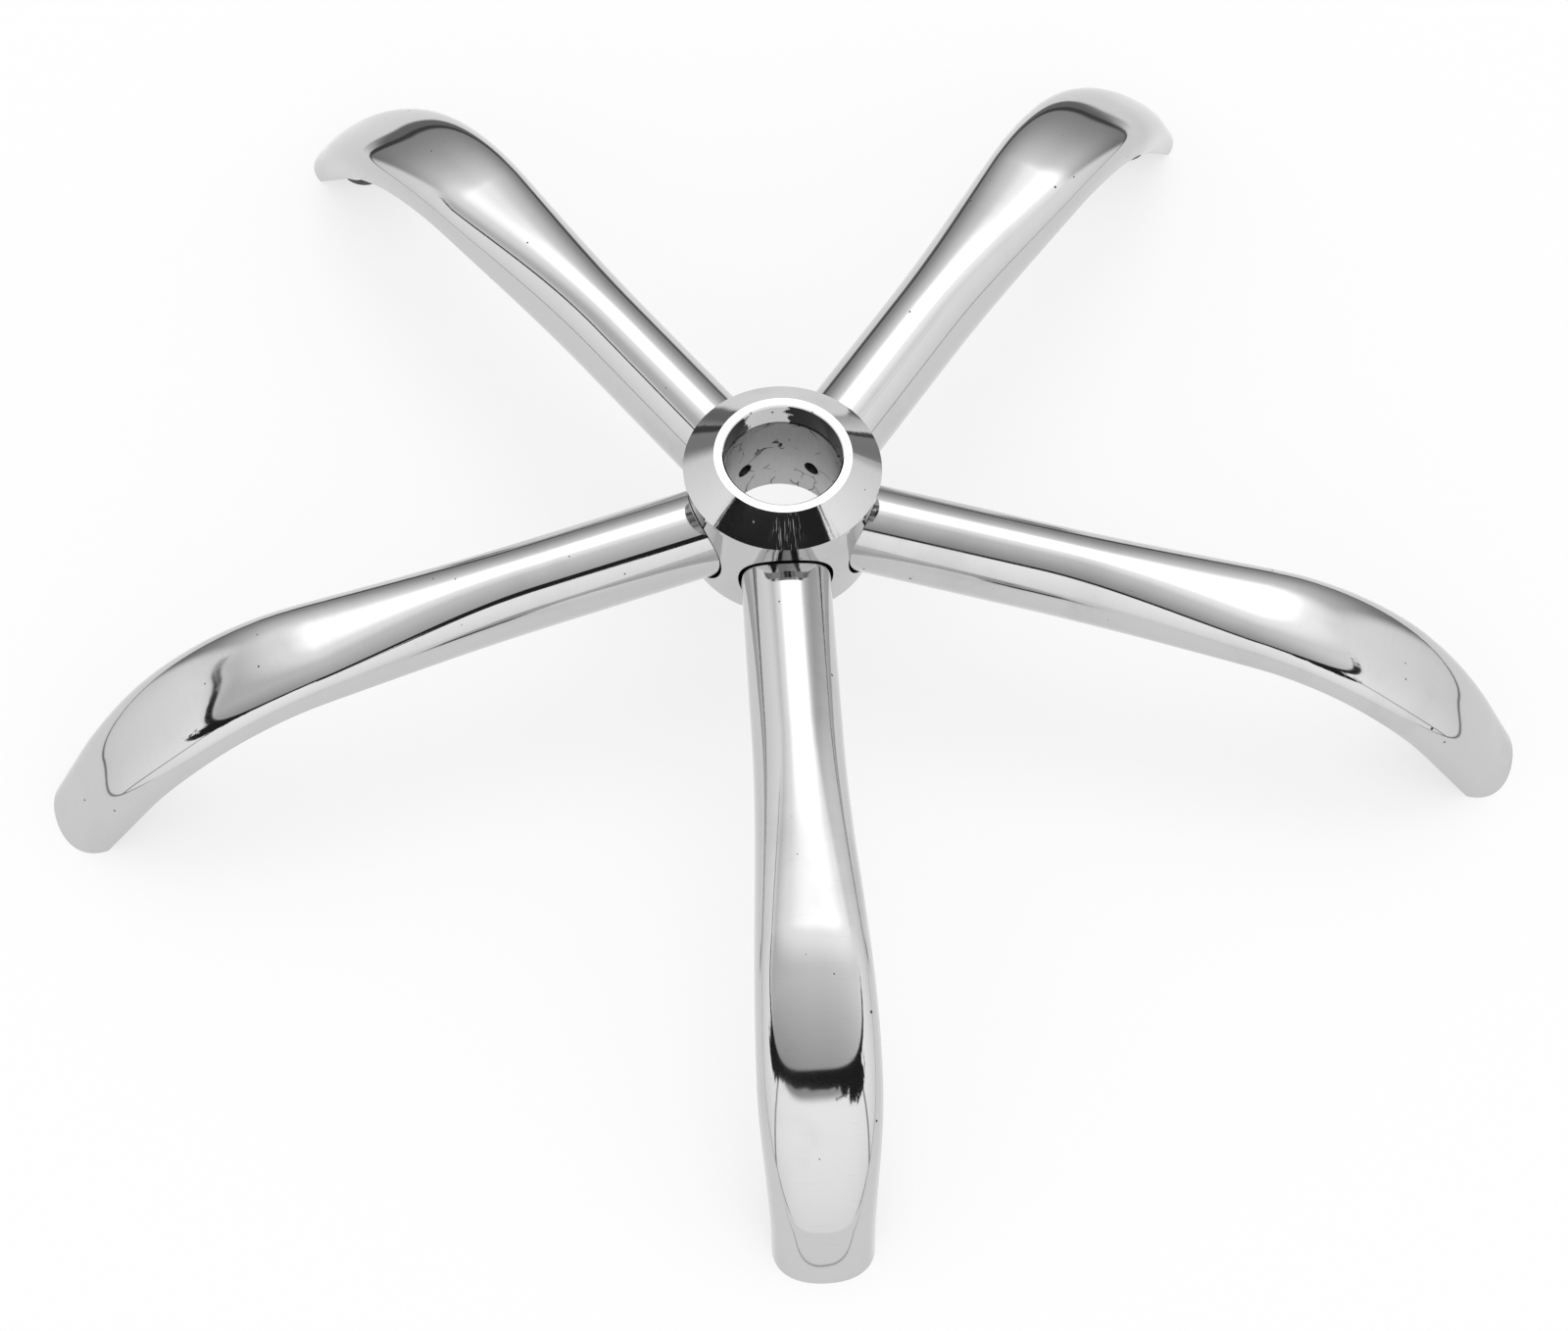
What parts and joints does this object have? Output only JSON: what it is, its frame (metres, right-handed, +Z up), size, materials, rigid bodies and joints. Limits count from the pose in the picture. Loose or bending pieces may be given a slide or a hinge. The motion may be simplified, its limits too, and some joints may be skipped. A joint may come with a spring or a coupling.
{
  "type": "office chair star base",
  "caption": "Chromed star base for an office chair: collared hub with a column bore and pressed tube arms that bend down to hooded caster sleeves.",
  "frame": {"origin": "on the column bore's axis, where the axes of the arms cross it", "axes": "+Z up along the column bore; -Y along arm 1"},
  "size_m": [0.6278, 0.5993, 0.108],
  "materials": {
    "chrome": "polished",
    "bore_steel": "satin",
    "sleeve_steel": "satin"
  },
  "bodies": {
    "root": {"hub_body": "chrome", "bore_sleeve": "bore_steel", "arm_tube_1": "chrome", "arm_tube_2": "chrome", "arm_tube_3": "chrome", "arm_tube_4": "chrome", "arm_tube_5": "chrome", "caster_sleeve_1": "sleeve_steel", "caster_sleeve_2": "sleeve_steel", "caster_sleeve_3": "sleeve_steel", "caster_sleeve_4": "sleeve_steel", "caster_sleeve_5": "sleeve_steel"}
  },
  "joints": []
}
